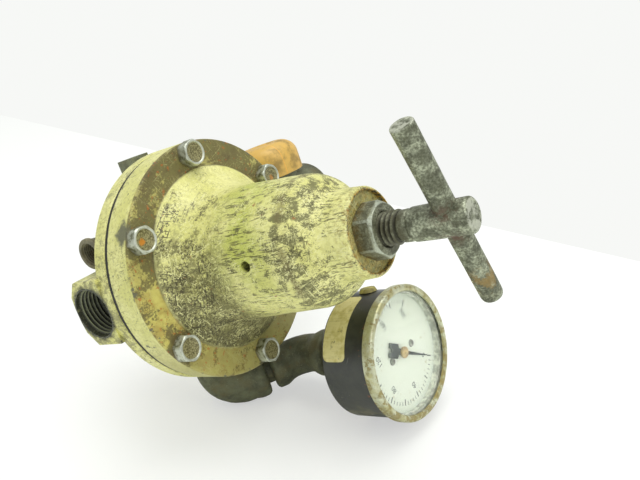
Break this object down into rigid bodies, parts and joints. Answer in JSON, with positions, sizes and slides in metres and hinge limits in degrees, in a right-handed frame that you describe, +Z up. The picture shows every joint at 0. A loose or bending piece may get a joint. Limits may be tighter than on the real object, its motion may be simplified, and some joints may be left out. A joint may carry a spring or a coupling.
{
  "type": "pressure regulator",
  "caption": "Spring-loaded diaphragm pressure regulator with T-handle screw, bolted bonnet, ported body, dial gauge on pipe elbows and a capped outlet tee.",
  "frame": {"origin": "on the table plane, under the middle of the bounding box, with the regulator lying on its gauge and elbows", "axes": "+X from the bottom cap towards the T-handle, +Y towards the outlet tee, +Z up; the adjusting screw rises 16.6 degrees above +X"},
  "size_m": [0.1858, 0.154, 0.1452],
  "materials": {
    "cream_paint": "old glossy cream paint, scratched and stained",
    "zinc_steel": "dull zinc plate with grime and rust spots",
    "dark_steel": "dark worn steel, oily",
    "black_iron": "dark grey malleable iron, rough",
    "rusty_iron": "brown-grey rusted iron",
    "brass": "turned brass, dull",
    "spring_steel": "oiled spring wire",
    "rubber_black": "matt black rubber",
    "rubber_brown": "perished yellow-brown rubber",
    "gasket_fibre": "matt dark fibre",
    "orange_plastic": "thin translucent orange plastic",
    "black_enamel": "worn black enamel with olive stains",
    "bezel_metal": "pale plated ring, tarnished yellow-brown",
    "lens_glass": "slightly cloudy window",
    "dial_white": "very pale green-white enamel with faint grey marks",
    "pointer_paint": "grey painted sheet",
    "grey_ring": "dull grey",
    "sticker_film": "blank cream film, smudged"
  },
  "bodies": {
    "regulator": {"body": "cream_paint", "bonnet": "cream_paint", "bonnet_bolts": "zinc_steel", "diaphragm": "rubber_black", "range_spring": "spring_steel", "valve_seat": "brass", "valve_spring": "spring_steel", "bottom_cap": "brass", "cap_gasket": "gasket_fibre", "port_plug": "black_iron", "small_elbow": "rusty_iron", "outlet_nipple": "black_iron", "outlet_tee": "black_iron", "gauge_elbow": "black_iron", "gauge_nipple": "black_iron", "gauge_bend": "black_iron", "gauge_socket": "brass", "gauge_case": "black_enamel", "case_screws": "zinc_steel", "gauge_bezel": "bezel_metal", "gauge_lens": "lens_glass", "lens_gasket": "gasket_fibre", "spacer_ring": "grey_ring", "gauge_dial": "dial_white", "dial_screws": "zinc_steel", "movement_plates": "brass", "bourdon_tube": "brass", "relief_plug": "rubber_brown", "case_sticker": "sticker_film"},
    "spring_button": {"spring_button": "dark_steel"},
    "screw": {"adjusting_screw": "dark_steel", "handle_bar": "dark_steel"},
    "lock_nut": {"lock_nut": "dark_steel"},
    "diaphragm_unit": {"diaphragm_plate": "dark_steel", "diaphragm_stud": "brass", "stud_nut": "zinc_steel"},
    "valve": {"valve_plug": "brass", "valve_disc": "rubber_black"},
    "thread_cap": {"thread_cap": "orange_plastic"},
    "pointer": {"gauge_pointer": "pointer_paint", "pinion_arbor": "brass"},
    "sector": {"sector_gear": "brass"},
    "link": {"tube_link": "zinc_steel"}
  },
  "joints": [
    {"name": "button_travel", "type": "slide", "parent": "regulator", "child": "spring_button", "axis": [0.9583, 0, 0.2857], "range_m": [-0.01172, 0.00195], "deforming": ["range_spring"]},
    {"name": "screw_turn", "type": "hinge", "parent": "spring_button", "child": "screw", "pos_m": [0.05491, -0.027, 0.1021], "axis": [0.9583, 0, 0.2857], "range_deg": [-2160, 360]},
    {"name": "lock_nut_turn", "type": "hinge", "parent": "regulator", "child": "lock_nut", "pos_m": [0.05107, -0.027, 0.10095], "axis": [0.9583, 0, 0.2857], "range_deg": [0, 1080]},
    {"name": "diaphragm_travel", "type": "slide", "parent": "regulator", "child": "diaphragm_unit", "axis": [0.9583, 0, 0.2857], "range_m": [-0.0015, 0], "stiffness_N_per_m": 20000, "springref_m": 0.0005, "deforming": ["diaphragm"]},
    {"name": "valve_travel", "type": "slide", "parent": "regulator", "child": "valve", "axis": [0.9583, 0, 0.2857], "range_m": [-0.00151, 0.00001], "stiffness_N_per_m": 3000, "springref_m": 0.004, "deforming": ["valve_spring"]},
    {"name": "thread_cap_pull", "type": "slide", "parent": "regulator", "child": "thread_cap", "axis": [-0.2857, 0, 0.9583], "range_m": [0, 0.04]},
    {"name": "pointer_turn", "type": "hinge", "parent": "regulator", "child": "pointer", "pos_m": [0.04906, 0.00001, 0.0344], "axis": [0.9568, -0.0558, 0.2852], "range_deg": [-270, 0], "stiffness_Nm_per_rad": 0.0002, "springref_deg": 11.46},
    {"name": "sector_turn", "type": "hinge", "parent": "regulator", "child": "sector", "pos_m": [0.04481, 0.00001, 0.04866], "axis": [0.9568, -0.0558, 0.2852], "range_deg": [-0.05, 36.05]},
    {"name": "link_turn", "type": "hinge", "parent": "sector", "child": "link", "pos_m": [0.04511, 0.0055, 0.04875], "axis": [0.9568, -0.0558, 0.2852], "range_deg": [-36.05, 0.05]}
  ],
  "couplings": [
    {"joint": "screw_turn", "follows": "button_travel", "rad_per_m": 3215.6},
    {"joint": "valve_travel", "follows": "diaphragm_travel", "ratio": 1},
    {"joint": "sector_turn", "follows": "pointer_turn", "ratio": -0.13333},
    {"joint": "link_turn", "follows": "pointer_turn", "ratio": 0.13333}
  ]
}
